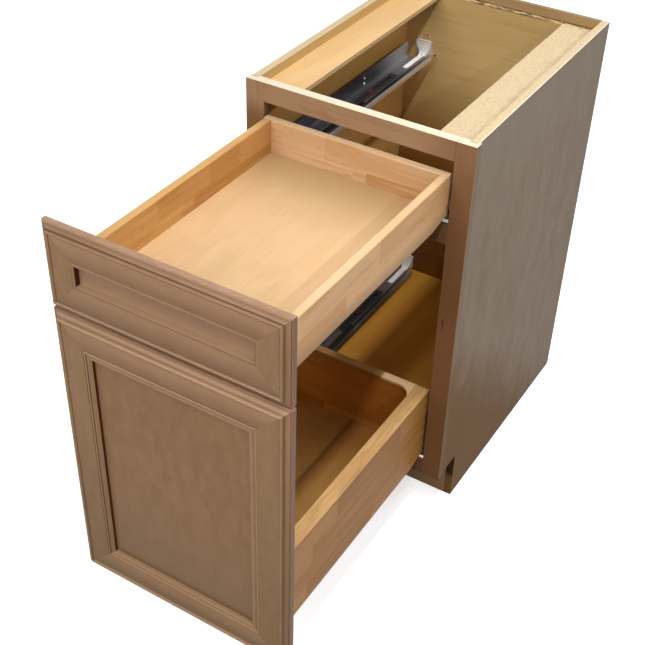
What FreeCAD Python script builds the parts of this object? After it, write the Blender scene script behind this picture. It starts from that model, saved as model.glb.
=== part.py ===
import FreeCAD, Part
import os

# Framed base cabinet with a drawer over a pull-out bin box, both standing pulled right out.
# Millimetres. +X is to the right seen from the front, +Y to the back and +Z up. The origin is
# on the floor under the middle of the cabinet and its pulled-out fronts.

# Carcass
CABINET_WIDTH = 457.2
CABINET_HEIGHT = 876.3
CABINET_DEPTH = 609.6          # face of the frame to the back edge of the sides
TOE_HEIGHT = 114.3
TOE_DEPTH = 82.5               # face of the frame to the toe board
SIDE_THICKNESS = 15.9
SIDE_REVEAL = 3.2              # the face frame stands this far proud of the side panels
DADO_DEPTH = 6.35              # how far panels are let into the sides
FLOOR_THICKNESS = 12.7
FLOOR_DROP = 6.35              # floor below the top of the bottom rail
BACK_THICKNESS = 12.7
BACK_RAIL_THICKNESS = 9.5
BACK_RAIL_HEIGHT = 76.2
TOE_BOARD_THICKNESS = 12.7
PLANK_WIDTH = 73.0             # the countertop cleats along the top of the sides
PLANK_THICKNESS = 9.5
PLANK_DROP = 19.0              # cleats and back panel below the top edge

# Face frame
FRAME_THICKNESS = 19.05
STILE_WIDTH = 38.1
RAIL_HEIGHT = 38.1
DRAWER_OPENING = 127.0
SIDE_GROOVE = 6.35             # how far the sides are let into the back of the stiles
TENON_LENGTH = 12.7
TENON_THICKNESS = 6.35
TENON_SHOULDER = 6.35

# Drawer front and door: mitred frames with a moulded edge round a flat panel
FRONT_REVEAL = 7.1             # side of the cabinet left showing beside the fronts
FRONT_THICKNESS = 19.05
TOP_REVEAL = 9.3
DRAWER_FRONT_HEIGHT = 157.0
FRONT_GAP = 5.5
DOOR_LIFT = 0.7                # lower edge of the door above the lower edge of the frame
BUMPER_GAP = 2.4               # between the frame and a closed front
EDGE_SQUARE = 9.0              # square part of the outer edge, above the back face
COVE_START = 1.2
COVE_RISE = 1.2
COVE_WIDTH = 9.3
COVE_TOP = 15.6
COVE_SAG = 1.5
BEAD_WIDTH = 7.0
BEAD_FOOT = 2.2                # foot of the bead below its crown
FIELD_DEPTH = 1.9              # flat field below the crown of the bead
DRAWER_FIELD = 37.5            # width of the flat field
DOOR_FIELD = 40.0
DRAWER_STICKING = 5.0          # moulding between the field and the panel
DOOR_STICKING = 15.0
STICKING_STEP = 1.2
INNER_BEAD_WIDTH = 4.4
INNER_BEAD_RISE = 1.1
STICKING_FALL = 0.7
PANEL_THICKNESS = 6.35
DOOR_PANEL_BACK = 2.65         # panel above the back of the door
DRAWER_PANEL_BACK = 0.0        # the drawer front's panel lies flush in a rabbet
PANEL_TONGUE = 8.0

# Dovetailed boxes
BOX_CLEARANCE = 9.5            # opening width less box width
BOX_BACK_GAP = 51.8            # closed box to the back panel
BOX_STAY = 9.05                # end of a pulled-out box behind the face of the frame
BOARD = 15.9
DRAWER_BOX_HEIGHT = 88.9
DRAWER_BOX_LIFT = 11.3         # box above the mid rail
BIN_BOX_HEIGHT = 163.7
BIN_BOX_LIFT = 7.6             # box above the bottom rail
BOTTOM_THICKNESS = 9.5
BOTTOM_RECESS = 12.7           # underside of the bottom above the lower edge of the sides
BOTTOM_GROOVE = 6.0
TAIL_PITCH = 25.4
TAIL_WIDTH = 11.5
TAIL_SLOPE = 0.17
TAIL_LAP = 6.4                 # wood left in front of the tails
HEEL_LENGTH = 57.0             # the rear lower corners of the sides are cut off
HEEL_RISE = 11.0
TOP_ROUND = 3.0                # on the top edges of the drawer box

# Bin holder rim on the lower box
RIM_THICKNESS = 6.35
RIM_SIDE = 29.0
RIM_BACK = 17.0
RIM_FRONT = 29.0
RIM_RADIUS = 30.0

# Undermount slides
SHEET = 1.5
RUN_GAP = 0.3                  # running clearance between members
LIP_GAP = 0.7                  # between the lips of two members
RAIL_SETBACK = 3.0             # front of the fixed rail behind the face of the frame
CHANNEL_SETBACK = 16.0         # front of its channel
RAIL_END_GAP = 31.4            # rail to the back panel
RAIL_BELOW = 6.6               # underside of the rail below the box
FLANGE_HEIGHT = 35.0
FLANGE_SETBACK = 20.0          # full height of the flange behind the front of the rail
FLANGE_RAMP = 8.0
TAB_REACH = 14.0               # the tab turned in at the front of the flange
TAB_HEIGHT = 28.0
TAB_CLEARANCE = 1.2            # between the tab and the passing box
CHANNEL_REACH = 36.0           # inner lip of the rail from the inside of the box side
MIDDLE_END_GAP = 41.4          # pushed-in middle runner to the back panel
MIDDLE_WIDTH = 13.0
MIDDLE_BASE = 6.4
NECK_WIDTH = 4.0
NECK_GAP = 0.55
HEAD_WIDTH = 10.0
RUNNER_START = 1.0             # front of the drawer runner behind the box front
RUNNER_END_GAP = 0.1           # its end before the end of the box
RUNNER_EDGE = 0.85             # between the drawer runner and the box side
FLANGE_HOLE_RADIUS = 2.4
FLANGE_HOLE_RISE = 9.5
FLANGE_HOLE_SPACING = 12.0
FLANGE_HOLE_BACK = 364.0       # behind the front of the rail

# Soft-close unit on each fixed rail
DAMPER_LENGTH = 180.0
DAMPER_END_GAP = 139.4         # housing to the back panel
DAMPER_WIDTH = 17.0
DAMPER_EDGE = 1.5
DAMPER_HEIGHT = 9.6
DAMPER_SLOPE = 8.0
SLOT_WIDTH = 6.4
SLOT_DEPTH = 6.0
SLOT_START = 15.0
SLOT_LEAD = 49.0               # slot in front of the cocked catch
CATCH_LENGTH = 14.0
CATCH_TRAVEL = 80.0
CATCH_BASE = 6.4
CATCH_PRONG = 1.3
CATCH_HEIGHT = 10.0
HOOK_WIDTH = 2.0
HOOK_CLEARANCE = 0.6

# Rear brackets, locking clips and release levers
BRACKET_WIDTH = 36.0
BRACKET_HEIGHT = 37.0
BRACKET_BELOW = 12.5
BRACKET_PLATE = 3.0
BRACKET_RADIUS = 3.0
TONGUE_LENGTH = 94.0
TONGUE_WIDTH = 16.0
TONGUE_THICKNESS = 3.0
RAMP_REACH = 34.0              # the curved foot of the bracket, in front of its plate
RAMP_SAG = 5.0
RIB_COUNT = 3
RIB_WIDTH = 1.8
RIB_RISE = 1.6
CLIP_WIDTH = 26.0
CLIP_LENGTH = 56.0
CLIP_GAP = 1.0
CLIP_RADIUS = 5.0
CLIP_GRIP_RADIUS = 9.0         # hollow for the thumb in the front of the clip
CLIP_GRIP_DEPTH = 2.5
PIVOT_RADIUS = 2.5
PIVOT_CLEARANCE = 0.08
PIVOT_HEAD_RADIUS = 4.2
PIVOT_HEAD = 1.5
PIVOT_BACK = 44.0
PIVOT_INSET = 13.0
LEVER_THICKNESS = 4.6
LEVER_RADIUS = 5.2
LEVER_REACH = 34.0
LEVER_SPLAY = 14.0

# Planes that the pieces share
ORIGIN = FreeCAD.Vector(0, 0, 0)
ACROSS = FreeCAD.Vector(1, 0, 0)
BACKWARD = FreeCAD.Vector(0, 1, 0)
UPWARD = FreeCAD.Vector(0, 0, 1)

box_length = CABINET_DEPTH - BACK_RAIL_THICKNESS - BACK_THICKNESS - BOX_BACK_GAP + BUMPER_GAP
pull_out = FRONT_THICKNESS + box_length - BOX_STAY
face_y = (pull_out - CABINET_DEPTH) / 2
frame_back_y = face_y + FRAME_THICKNESS
rear_y = face_y + CABINET_DEPTH
back_rail_y = rear_y - BACK_RAIL_THICKNESS
back_y = back_rail_y - BACK_THICKNESS
toe_y = face_y + TOE_DEPTH

half_width = CABINET_WIDTH / 2
front_width = CABINET_WIDTH - 2 * FRONT_REVEAL
opening_x = half_width - STILE_WIDTH
side_out_x = half_width - SIDE_REVEAL
side_in_x = side_out_x - SIDE_THICKNESS
dado_x = side_in_x + DADO_DEPTH

top_rail_z = CABINET_HEIGHT - RAIL_HEIGHT
mid_rail_top_z = top_rail_z - DRAWER_OPENING
mid_rail_z = mid_rail_top_z - RAIL_HEIGHT
bottom_rail_top_z = TOE_HEIGHT + RAIL_HEIGHT
floor_top_z = bottom_rail_top_z - FLOOR_DROP
floor_z = floor_top_z - FLOOR_THICKNESS
plank_top_z = CABINET_HEIGHT - PLANK_DROP

front_face_y = face_y - pull_out
box_front_y = front_face_y + FRONT_THICKNESS
box_inner_y = box_front_y + BOARD
box_rear_y = box_front_y + box_length
box_x = opening_x - BOX_CLEARANCE / 2
box_in_x = box_x - BOARD
drawer_low_z = mid_rail_top_z + DRAWER_BOX_LIFT
bin_low_z = bottom_rail_top_z + BIN_BOX_LIFT
drawer_front_z = CABINET_HEIGHT - TOP_REVEAL - DRAWER_FRONT_HEIGHT
door_z = TOE_HEIGHT + DOOR_LIFT
door_height = drawer_front_z - FRONT_GAP - door_z
travel = pull_out - FRONT_THICKNESS - BUMPER_GAP

pieces = {}


def block(x0, x1, y0, y1, z0, z1):
    """A squared board between two corners."""
    return Part.makeBox(x1 - x0, y1 - y0, z1 - z0, FreeCAD.Vector(x0, y0, z0))


def handed(shape, hand):
    """The right-hand piece, or its mirror image for the left."""
    if hand == "right":
        return shape
    return shape.mirror(ORIGIN, ACROSS)


def section(place, start, *moves):
    """A closed face from a start and moves: a point, or (point on an arc, end of the arc)."""
    edges = []
    here = start
    for move in moves + (start,):
        if isinstance(move[0], tuple):
            on_arc, end = move
            edges.append(Part.Arc(place(here), place(on_arc), place(end)).toShape())
        else:
            end = move
            edges.append(Part.LineSegment(place(here), place(end)).toShape())
        here = end
    return Part.Face(Part.Wire(edges))


def across_plane(x):
    """Places (y, z) points on a plane square to X."""
    return lambda point: FreeCAD.Vector(x, point[0], point[1])


def along_plane(y):
    """Places (x, z) points on a plane square to Y."""
    return lambda point: FreeCAD.Vector(point[0], y, point[1])


def level_plane(z):
    """Places (x, y) points on a level plane."""
    return lambda point: FreeCAD.Vector(point[0], point[1], z)


def rod(radius, length, base, direction):
    return Part.makeCylinder(radius, length, base, direction)


# Carcass

def make_carcass():
    floor_panel = block(-dado_x, dado_x, frame_back_y, back_y, floor_z, floor_top_z)
    back_panel = block(-dado_x, dado_x, back_y, back_rail_y, 0, plank_top_z)
    pieces["cabinet_floor"] = floor_panel
    pieces["back_panel"] = back_panel
    pieces["toe_kick_board"] = block(-side_in_x, side_in_x, toe_y, toe_y + TOE_BOARD_THICKNESS, 0, floor_z)
    hanging_z = CABINET_HEIGHT - BACK_RAIL_HEIGHT
    pieces["top_back_rail"] = block(-side_in_x, side_in_x, back_rail_y, rear_y, hanging_z, CABINET_HEIGHT)
    pieces["bottom_back_rail"] = block(-side_in_x, side_in_x, back_rail_y, rear_y, 0, BACK_RAIL_HEIGHT)
    tongue_y = frame_back_y - SIDE_GROOVE
    outline = section(
        across_plane(side_in_x),
        (tongue_y, CABINET_HEIGHT), (tongue_y, TOE_HEIGHT), (toe_y, TOE_HEIGHT),
        (toe_y, 0), (rear_y, 0), (rear_y, CABINET_HEIGHT),
    )
    blank = outline.extrude(ACROSS * SIDE_THICKNESS)
    plank_in_x = side_in_x - PLANK_WIDTH
    for hand in ("left", "right"):
        plank = block(plank_in_x, dado_x, frame_back_y, back_y, plank_top_z - PLANK_THICKNESS, plank_top_z)
        plank = handed(plank, hand)
        side = handed(blank, hand).cut(floor_panel).cut(back_panel).cut(plank)
        pieces[hand + "_top_plank"] = plank
        pieces[hand + "_side_panel"] = side


# Face frame

def frame_rail(low):
    """A frame rail with a stub tenon on each end."""
    rail = block(-opening_x, opening_x, face_y, frame_back_y, low, low + RAIL_HEIGHT)
    tenon_y = face_y + (FRAME_THICKNESS - TENON_THICKNESS) / 2
    tenon_x = opening_x + TENON_LENGTH
    tenons = block(
        -tenon_x, tenon_x, tenon_y, tenon_y + TENON_THICKNESS,
        low + TENON_SHOULDER, low + RAIL_HEIGHT - TENON_SHOULDER,
    )
    return rail.fuse(tenons).removeSplitter()


def make_face_frame():
    rails = {"top_rail": top_rail_z, "mid_rail": mid_rail_z, "bottom_rail": TOE_HEIGHT}
    for name, low in rails.items():
        pieces[name] = frame_rail(low)
    for hand in ("left", "right"):
        stile = block(opening_x, half_width, face_y, frame_back_y, TOE_HEIGHT, CABINET_HEIGHT)
        stile = handed(stile, hand).cut(pieces[hand + "_side_panel"])
        for name in rails:
            stile = stile.cut(pieces[name])
        pieces[hand + "_stile"] = stile


# Drawer front and door

def frame_section(field, sticking, inner_bead, panel_back):
    """Section of a frame member: height above the back towards -Y, distance from the edge along Z."""
    bead_start = COVE_START + COVE_WIDTH
    bead_end = bead_start + BEAD_WIDTH
    bead_foot = FRONT_THICKNESS - BEAD_FOOT
    field_top = FRONT_THICKNESS - FIELD_DEPTH
    field_end = bead_end + field
    inner = field_end + sticking
    cove_foot = EDGE_SQUARE + COVE_RISE
    cove_middle = (COVE_START + COVE_WIDTH / 2, (cove_foot + COVE_TOP) / 2 - COVE_SAG)
    bead_crown = (bead_start + BEAD_WIDTH / 2, FRONT_THICKNESS)
    panel_face = panel_back + PANEL_THICKNESS
    moves = [
        (0, EDGE_SQUARE),
        (COVE_START, cove_foot),
        (cove_middle, (bead_start, COVE_TOP)),
        (bead_start, bead_foot),
        (bead_crown, (bead_end, bead_foot)),
        (bead_end, field_top),
        (field_end, field_top),
    ]
    step = field_top - STICKING_STEP
    if inner_bead:
        inner_bead_end = field_end + INNER_BEAD_WIDTH
        crown = (field_end + INNER_BEAD_WIDTH / 2, step + INNER_BEAD_RISE)
        moves.append((field_end, step))
        moves.append((crown, (inner_bead_end, step)))
        moves.append((inner_bead_end, step - STICKING_FALL))
        step = step - 2 * STICKING_FALL
    moves += [
        (inner, step),
        (inner, panel_face),
        (inner - PANEL_TONGUE, panel_face),
        (inner - PANEL_TONGUE, panel_back),
    ]
    if panel_back > 0:
        moves += [(inner, panel_back), (inner, 0)]

    def place(point):
        return FreeCAD.Vector(0, -point[1], point[0])

    return section(place, (0, 0), *moves), inner


def mitred_bar(length, *profile):
    """A moulded bar along X, its outer edge down, mitred at both ends."""
    face, width = frame_section(*profile)
    half = length / 2
    bar = face.extrude(ACROSS * length)
    bar.translate(ACROSS * -half)
    mitres = section(
        along_plane(-FRONT_THICKNESS),
        (-half, 0), (half, 0), (half - width, width), (width - half, width),
    )
    return bar.common(mitres.extrude(BACKWARD * FRONT_THICKNESS))


def make_front(name, low, height, field, sticking, inner_bead, panel_back):
    """Two rails, two stiles and the panel that they hold in a groove or rabbet."""
    half = front_width / 2
    middle_z = low + height / 2
    members = {
        "bottom_rail": (0, front_width, FreeCAD.Vector(0, box_front_y, low)),
        "top_rail": (180, front_width, FreeCAD.Vector(0, box_front_y, low + height)),
        "left_stile": (90, height, FreeCAD.Vector(-half, box_front_y, middle_z)),
        "right_stile": (-90, height, FreeCAD.Vector(half, box_front_y, middle_z)),
    }
    for member, (turn, length, seat) in members.items():
        bar = mitred_bar(length, field, sticking, inner_bead, panel_back)
        bar.rotate(ORIGIN, BACKWARD, turn)
        bar.translate(seat)
        pieces[name + "_" + member] = bar
    inner = frame_section(field, sticking, inner_bead, panel_back)[1]
    tongue = inner - PANEL_TONGUE
    panel_back_y = box_front_y - panel_back
    pieces[name + "_panel"] = block(
        tongue - half, half - tongue, panel_back_y - PANEL_THICKNESS, panel_back_y,
        low + tongue, low + height - tongue,
    )


# Dovetailed boxes

def tails(y_root, y_end, low, high):
    """Dovetails on the end of the right side, wider at y_end than at y_root."""
    count = max(1, int((high - low) // TAIL_PITCH))
    pitch = (high - low) / count
    root = TAIL_WIDTH / 2
    end = root + TAIL_SLOPE * abs(y_end - y_root)
    prisms = []
    for index in range(count):
        middle = low + pitch * (index + 0.5)
        tail = section(
            across_plane(box_in_x),
            (y_root, middle - root), (y_end, middle - end), (y_end, middle + end), (y_root, middle + root),
        )
        prisms.append(tail.extrude(ACROSS * BOARD))
    return prisms


def rounded_top(board, radius):
    """A board with its long top edges rounded, up to nearly half its thickness."""
    radius = min(radius, 0.45 * BOARD)
    top = board.BoundBox.ZMax
    edges = [edge for edge in board.Edges if edge.BoundBox.ZMin > top - radius and edge.Length > 2 * BOARD]
    return board.makeFillet(radius, edges)


def make_box(name, low, height, top_round):
    """Sides dovetailed into the front and back, with the bottom let in and run under the back."""
    high = low + height
    bottom_z = low + BOTTOM_RECESS
    bottom_top_z = bottom_z + BOTTOM_THICKNESS
    back_inner_y = box_rear_y - BOARD
    bottom_x = box_in_x + BOTTOM_GROOVE
    bottom = block(-bottom_x, bottom_x, box_inner_y - BOTTOM_GROOVE, box_rear_y, bottom_z, bottom_top_z)
    front = block(-box_x, box_x, box_front_y, box_inner_y, low, high)
    back = block(-box_x, box_x, back_inner_y, box_rear_y, bottom_top_z, high)
    front_tails = tails(box_inner_y, box_front_y + TAIL_LAP, low, high)
    back_tails = tails(back_inner_y, box_rear_y - TAIL_LAP, bottom_top_z, high)
    board = block(box_in_x, box_x, box_inner_y, back_inner_y, low, high)
    if top_round:
        front, back, board = [rounded_top(piece, top_round) for piece in (front, back, board)]
    front = front.cut(bottom)
    tail_end = block(box_in_x, box_x, back_inner_y, box_rear_y, low, bottom_top_z)
    blank = board.multiFuse([tail_end] + front_tails + back_tails).removeSplitter()
    heel = section(
        across_plane(box_in_x),
        (box_rear_y - HEEL_LENGTH, low), (box_rear_y, low), (box_rear_y, low + HEEL_RISE),
    )
    blank = blank.cut(heel.extrude(ACROSS * BOARD))
    for hand in ("left", "right"):
        pieces[name + "_" + hand + "_side"] = handed(blank, hand).cut(bottom)
        for tail in front_tails:
            front = front.cut(handed(tail, hand))
        for tail in back_tails:
            back = back.cut(handed(tail, hand))
    pieces[name + "_front"] = front
    pieces[name + "_back"] = back
    pieces[name + "_bottom"] = bottom


def make_bin_rim():
    """Thin rim on top of the bin box, with a rounded opening that the bins hang in."""
    low = bin_low_z + BIN_BOX_HEIGHT
    plate = block(-box_x, box_x, box_front_y, box_rear_y, low, low + RIM_THICKNESS)
    x = box_x - RIM_SIDE
    hole = block(-x, x, box_front_y + RIM_FRONT, box_rear_y - RIM_BACK, low, low + RIM_THICKNESS)
    uprights = [edge for edge in hole.Edges if edge.BoundBox.ZLength > RIM_THICKNESS / 2]
    pieces["bin_holder_rim"] = plate.cut(hole.makeFillet(RIM_RADIUS, uprights))


# Undermount slides

def slide_levels(low):
    """Heights of the slide's members for a box whose sides end at low."""
    levels = {"web": low - RAIL_BELOW}
    levels["web_top"] = levels["web"] + SHEET
    levels["base"] = levels["web_top"] + RUN_GAP
    levels["base_top"] = levels["base"] + MIDDLE_BASE
    levels["return"] = levels["base_top"] + RUN_GAP
    levels["lip_top"] = levels["return"] + SHEET
    levels["runner_lip"] = levels["lip_top"] + LIP_GAP
    levels["runner_lip_top"] = levels["runner_lip"] + SHEET
    levels["head"] = levels["runner_lip_top"] + RUN_GAP
    levels["plate_top"] = low + BOTTOM_RECESS
    levels["plate"] = levels["plate_top"] - SHEET
    levels["head_top"] = levels["plate"] - RUN_GAP
    return levels


lip_x = box_in_x - CHANNEL_REACH
channel_x = lip_x + SHEET
base_x = channel_x + RUN_GAP
base_end_x = base_x + MIDDLE_WIDTH
guide_x = base_end_x + RUN_GAP
middle_x = (base_x + base_end_x) / 2
neck_x = (middle_x - NECK_WIDTH / 2, middle_x + NECK_WIDTH / 2)
head_x = (middle_x - HEAD_WIDTH / 2, middle_x + HEAD_WIDTH / 2)
runner_in_x = head_x[0] - RUN_GAP - SHEET
runner_out_x = head_x[1] + RUN_GAP + SHEET
damper_out_x = box_in_x - DAMPER_EDGE
slot_x = damper_out_x - DAMPER_WIDTH / 2
rail_front_y = face_y + RAIL_SETBACK
rail_rear_y = back_y - RAIL_END_GAP
channel_y = face_y + CHANNEL_SETBACK
damper_y = back_y - DAMPER_END_GAP - DAMPER_LENGTH
slot_y = damper_y + SLOT_START
catch_y = slot_y + SLOT_LEAD + RUN_GAP
tongue_x = guide_x + SHEET + RUN_GAP
bracket_x = tongue_x + TONGUE_WIDTH


def fixed_rail(low):
    """Bent steel rail: flange up the side, web under the box and a C channel for the middle runner."""
    level = slide_levels(low)
    flange_top = level["web"] + FLANGE_HEIGHT
    tab_top = level["web"] + TAB_HEIGHT
    full_y = rail_front_y + FLANGE_SETBACK
    flange = section(
        across_plane(opening_x - SHEET),
        (rail_front_y, level["web"]), (rail_rear_y, level["web"]), (rail_rear_y, flange_top),
        (full_y + FLANGE_RAMP, flange_top), (full_y, tab_top), (rail_front_y, tab_top),
    ).extrude(ACROSS * SHEET)
    tab_in_x = opening_x - TAB_REACH
    tab_up_x = box_x + TAB_CLEARANCE
    tab_step = low - TAB_CLEARANCE
    tab = section(
        along_plane(rail_front_y),
        (tab_in_x, level["web"]), (opening_x, level["web"]), (opening_x, tab_top),
        (tab_up_x, tab_top), (tab_up_x, tab_step), (tab_in_x, tab_step),
    ).extrude(BACKWARD * SHEET)
    for step in (0, FLANGE_HOLE_SPACING):
        hole_z = level["web"] + FLANGE_HOLE_RISE + step
        hole_at = FreeCAD.Vector(opening_x - SHEET, rail_front_y + FLANGE_HOLE_BACK, hole_z)
        flange = flange.cut(rod(FLANGE_HOLE_RADIUS, SHEET, hole_at, ACROSS))
    web = block(lip_x, opening_x, channel_y, rail_rear_y, level["web"], level["web_top"])
    round_end = (level["lip_top"] - level["web"]) / 2
    lip = section(
        across_plane(lip_x),
        (channel_y, level["web"]),
        (rail_rear_y, level["web"]),
        ((rail_rear_y + round_end, level["web"] + round_end), (rail_rear_y, level["lip_top"])),
        (channel_y, level["lip_top"]),
    ).extrude(ACROSS * SHEET)
    guide = block(guide_x, guide_x + SHEET, channel_y, rail_rear_y, level["web"], level["lip_top"])
    inner_return = block(
        lip_x, neck_x[0] - NECK_GAP, channel_y, rail_rear_y, level["return"], level["lip_top"]
    )
    outer_return = block(
        neck_x[1] + NECK_GAP, guide_x + SHEET, channel_y, rail_rear_y, level["return"], level["lip_top"]
    )
    return flange.multiFuse([tab, web, lip, guide, inner_return, outer_return]).removeSplitter()


def middle_runner(low):
    """Rolled runner of I section: its base runs in the fixed rail, its head in the drawer runner."""
    level = slide_levels(low)
    start_y = channel_y - travel / 2
    face = section(
        along_plane(start_y),
        (base_x, level["base"]), (base_end_x, level["base"]), (base_end_x, level["base_top"]),
        (neck_x[1], level["base_top"]), (neck_x[1], level["head"]),
        (head_x[1], level["head"]), (head_x[1], level["head_top"]),
        (head_x[0], level["head_top"]), (head_x[0], level["head"]),
        (neck_x[0], level["head"]), (neck_x[0], level["base_top"]), (base_x, level["base_top"]),
    )
    return face.extrude(BACKWARD * (back_y - MIDDLE_END_GAP - channel_y))


def drawer_runner(low):
    """Channel that carries the box bottom and hooks round the middle runner's head."""
    level = slide_levels(low)
    start_y = box_inner_y + RUNNER_START
    lip_in_x = neck_x[0] - NECK_GAP
    lip_out_x = neck_x[1] + NECK_GAP
    leg_in_x = runner_in_x + SHEET
    leg_out_x = runner_out_x - SHEET
    plate_x = box_in_x - RUNNER_EDGE
    face = section(
        along_plane(start_y),
        (runner_in_x, level["plate_top"]), (plate_x, level["plate_top"]), (plate_x, level["plate"]),
        (runner_out_x, level["plate"]), (runner_out_x, level["runner_lip"]),
        (lip_out_x, level["runner_lip"]), (lip_out_x, level["runner_lip_top"]),
        (leg_out_x, level["runner_lip_top"]), (leg_out_x, level["plate"]),
        (leg_in_x, level["plate"]), (leg_in_x, level["runner_lip_top"]),
        (lip_in_x, level["runner_lip_top"]), (lip_in_x, level["runner_lip"]),
        (runner_in_x, level["runner_lip"]),
    )
    hook_y = catch_y + CATCH_TRAVEL - travel
    hook_low = catch_low(low) + CATCH_BASE + HOOK_CLEARANCE
    hook = block(
        slot_x - HOOK_WIDTH / 2, slot_x + HOOK_WIDTH / 2, hook_y, hook_y + CATCH_LENGTH,
        hook_low, level["plate_top"],
    )
    run = box_rear_y - RUNNER_END_GAP - start_y
    return face.extrude(BACKWARD * run).fuse(hook).removeSplitter()


def slot_floor(low):
    return slide_levels(low)["web_top"] + DAMPER_HEIGHT - SLOT_DEPTH


def catch_low(low):
    return slot_floor(low) + RUN_GAP


def damper_housing(low):
    """Soft-close housing with sloped ends, slotted along the top for its catch."""
    seat = slide_levels(low)["web_top"]
    top = seat + DAMPER_HEIGHT
    damper_end_y = damper_y + DAMPER_LENGTH
    side = section(
        across_plane(damper_out_x - DAMPER_WIDTH),
        (damper_y, seat), (damper_end_y, seat),
        (damper_end_y - DAMPER_SLOPE, top), (damper_y + DAMPER_SLOPE, top),
    )
    slot_length = SLOT_LEAD + CATCH_LENGTH + CATCH_TRAVEL + 2 * RUN_GAP
    slot = block(
        slot_x - SLOT_WIDTH / 2, slot_x + SLOT_WIDTH / 2, slot_y, slot_y + slot_length, slot_floor(low), top
    )
    return side.extrude(ACROSS * DAMPER_WIDTH).cut(slot)


def soft_close_catch(low):
    """Forked catch in the housing's slot, cocked at the front: the runner's hook passes in its fork."""
    foot = catch_low(low)
    half = SLOT_WIDTH / 2 - RUN_GAP
    fork = half - CATCH_PRONG
    face = section(
        along_plane(catch_y),
        (slot_x - half, foot), (slot_x + half, foot), (slot_x + half, foot + CATCH_HEIGHT),
        (slot_x + fork, foot + CATCH_HEIGHT), (slot_x + fork, foot + CATCH_BASE),
        (slot_x - fork, foot + CATCH_BASE), (slot_x - fork, foot + CATCH_HEIGHT),
        (slot_x - half, foot + CATCH_HEIGHT),
    )
    return face.extrude(BACKWARD * CATCH_LENGTH)


def rear_bracket(low):
    """Moulded socket on the back panel: a plate that curves down, ribbed, to the rail's tongue."""
    seat = slide_levels(low)["web_top"]
    plate_y = back_y - BRACKET_PLATE
    foot_y = plate_y - RAMP_REACH
    plate_low = low - BRACKET_BELOW
    plate_top = plate_low + BRACKET_HEIGHT
    plate_in_x = bracket_x - BRACKET_WIDTH / 2
    plate_out_x = bracket_x + BRACKET_WIDTH / 2
    plate = block(plate_in_x, plate_out_x, plate_y, back_y, plate_low, plate_top)
    corners = [edge for edge in plate.Edges if edge.BoundBox.YLength > BRACKET_PLATE / 2]
    plate = plate.makeFillet(BRACKET_RADIUS, corners)
    tongue_top = seat + TONGUE_THICKNESS
    ramp_top = plate_top - BRACKET_RADIUS - RIB_RISE

    def curved_foot(rise, x0, x1):
        """Side view of the foot, hollow between the tongue and the plate, drawn across from x0 to x1."""
        top, toe = ramp_top + rise, tongue_top + rise
        hollow = ((foot_y + plate_y) / 2 + RAMP_SAG, (top + toe) / 2 - RAMP_SAG)
        side = section(
            across_plane(x0),
            (foot_y, seat), (back_y, seat), (back_y, top), (plate_y, top), (hollow, (foot_y, toe)),
        )
        return side.extrude(ACROSS * (x1 - x0))

    tongue_out_x = tongue_x + TONGUE_WIDTH
    spread = ((tongue_out_x + plate_out_x) / 2 - RAMP_SAG, (foot_y + plate_y) / 2 + RAMP_SAG)
    plan = section(
        level_plane(plate_low),
        (tongue_x, foot_y), (tongue_out_x, foot_y), (spread, (plate_out_x, plate_y)),
        (plate_out_x, back_y), (tongue_x, back_y),
    ).extrude(UPWARD * BRACKET_HEIGHT)
    ramp = curved_foot(0, tongue_x, plate_out_x).common(plan)
    tongue = block(tongue_x, tongue_out_x, back_y - TONGUE_LENGTH, back_y, seat, tongue_top)
    ribs = []
    for index in range(RIB_COUNT):
        middle = tongue_x + TONGUE_WIDTH * (index + 0.5) / RIB_COUNT
        ribs.append(curved_foot(RIB_RISE, middle - RIB_WIDTH / 2, middle + RIB_WIDTH / 2))
    return plate.multiFuse([ramp, tongue] + ribs).removeSplitter()


pivot_x = runner_in_x - PIVOT_INSET
pivot_y = box_inner_y + PIVOT_BACK


def lock_clip(low):
    """Clip under the front corner of the box that holds it to the drawer runner, with the lever's pivot."""
    level = slide_levels(low)
    seat = level["lip_top"] + CLIP_GAP
    clip_x = runner_in_x - CLIP_WIDTH
    clip_height = level["plate_top"] - seat
    body = block(clip_x, runner_in_x, box_inner_y, box_inner_y + CLIP_LENGTH, seat, level["plate_top"])
    free_corners = [
        edge for edge in body.Edges
        if edge.BoundBox.ZLength > clip_height / 2 and edge.BoundBox.XMax < clip_x + CLIP_RADIUS
    ]
    body = body.makeFillet(CLIP_RADIUS, free_corners)
    grip_x = clip_x - CLIP_GRIP_RADIUS + CLIP_GRIP_DEPTH
    grip_at = FreeCAD.Vector(grip_x, box_inner_y + CLIP_LENGTH / 2, seat)
    body = body.cut(rod(CLIP_GRIP_RADIUS, clip_height, grip_at, UPWARD))
    shank = LEVER_THICKNESS + 2 * RUN_GAP
    pin = rod(PIVOT_RADIUS, shank, FreeCAD.Vector(pivot_x, pivot_y, seat), -UPWARD)
    head_at = FreeCAD.Vector(pivot_x, pivot_y, seat - shank)
    head = rod(PIVOT_HEAD_RADIUS, PIVOT_HEAD, head_at, -UPWARD)
    return body.multiFuse([pin, head]).removeSplitter()


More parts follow.
